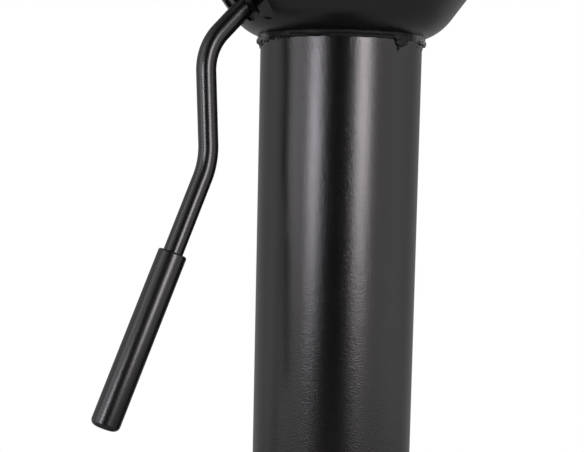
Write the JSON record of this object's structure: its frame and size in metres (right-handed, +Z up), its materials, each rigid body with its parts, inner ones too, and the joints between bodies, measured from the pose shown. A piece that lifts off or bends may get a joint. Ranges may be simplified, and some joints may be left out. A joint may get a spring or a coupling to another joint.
{
  "type": "tiki torch",
  "caption": "Garden column torch: round base, tall black tube, slotted conical bowl with a wick burner, and a bent side lever that swings a snuffer cap over the flame.",
  "frame": {"origin": "centre of the round base, on the ground under its rubber feet", "axes": "+Z up along the column's axis; the snuffer lever hangs on the -X side, in the XZ plane"},
  "size_m": [0.3999, 0.4, 1.128],
  "materials": {
    "powder_coat": "satin black powder coat with fine orange peel",
    "black_rubber": "matt moulded rubber",
    "grip_plastic": "satin black moulded sleeve",
    "burner_brass": "turned, lightly tarnished",
    "wick_fibre": "braided glass fibre, singed at its top",
    "tank_steel": "drawn stainless sheet",
    "zinc_steel": "zinc-plated fixings"
  },
  "bodies": {
    "torch": {"base_plate": "powder_coat", "rubber_foot_1": "black_rubber", "rubber_foot_2": "black_rubber", "rubber_foot_3": "black_rubber", "rubber_foot_4": "black_rubber", "foot_screw_1": "zinc_steel", "foot_screw_2": "zinc_steel", "foot_screw_3": "zinc_steel", "foot_screw_4": "zinc_steel", "foot_flange": "powder_coat", "flange_washer_1": "zinc_steel", "flange_washer_2": "zinc_steel", "flange_washer_3": "zinc_steel", "flange_washer_4": "zinc_steel", "flange_washer_5": "zinc_steel", "flange_washer_6": "zinc_steel", "flange_bolt_1": "zinc_steel", "flange_bolt_2": "zinc_steel", "flange_bolt_3": "zinc_steel", "flange_bolt_4": "zinc_steel", "flange_bolt_5": "zinc_steel", "flange_bolt_6": "zinc_steel", "foot_weld": "powder_coat", "column_tube": "powder_coat", "bowl": "powder_coat", "bowl_rim": "powder_coat", "bowl_weld": "powder_coat", "fuel_tank": "tank_steel", "tank_gasket": "black_rubber", "burner_cap": "burner_brass", "wick_tube": "burner_brass", "wick_collar": "burner_brass", "wick": "wick_fibre", "pivot_lug_front": "powder_coat", "pivot_lug_back": "powder_coat", "rocker_shaft": "zinc_steel", "pivot_washer_front": "zinc_steel", "pivot_washer_back": "zinc_steel", "shaft_clip_front": "zinc_steel", "shaft_clip_back": "zinc_steel"},
    "snuffer_lever": {"rocker_hub": "powder_coat", "lever_rod": "powder_coat", "grip_sleeve": "grip_plastic", "snuffer_arm": "powder_coat", "snuffer_cap": "powder_coat", "snuffer_stud": "zinc_steel", "snuffer_washer": "zinc_steel", "snuffer_nut": "zinc_steel"}
  },
  "joints": [
    {"name": "lever_swing", "type": "hinge", "parent": "torch", "child": "snuffer_lever", "pos_m": [-0.0475, 0, 1.0388], "axis": [0, 1, 0], "range_deg": [0, 60]}
  ]
}
